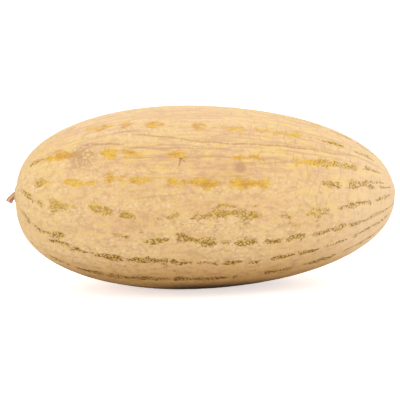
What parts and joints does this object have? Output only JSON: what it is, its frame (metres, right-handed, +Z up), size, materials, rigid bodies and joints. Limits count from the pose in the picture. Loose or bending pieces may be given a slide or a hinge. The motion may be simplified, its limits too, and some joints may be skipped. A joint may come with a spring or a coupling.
{
  "type": "oblong netted muskmelon",
  "caption": "Oblong netted muskmelon lying on its side, with a dried stub of stem at one end; it rests on a small flat spot under its belly.",
  "frame": {"origin": "under the middle of the whole part's box, on the surface that the melon rests on", "axes": "+X along the fruit from its stem end to its blossom end, +Z up, -Y towards the side seen from the front"},
  "size_m": [0.3074, 0.1446, 0.1438],
  "materials": {
    "netted_rind": "matte",
    "dried_stem": "matte"
  },
  "bodies": {
    "root": {"melon": "netted_rind", "stem": "dried_stem"}
  },
  "joints": []
}
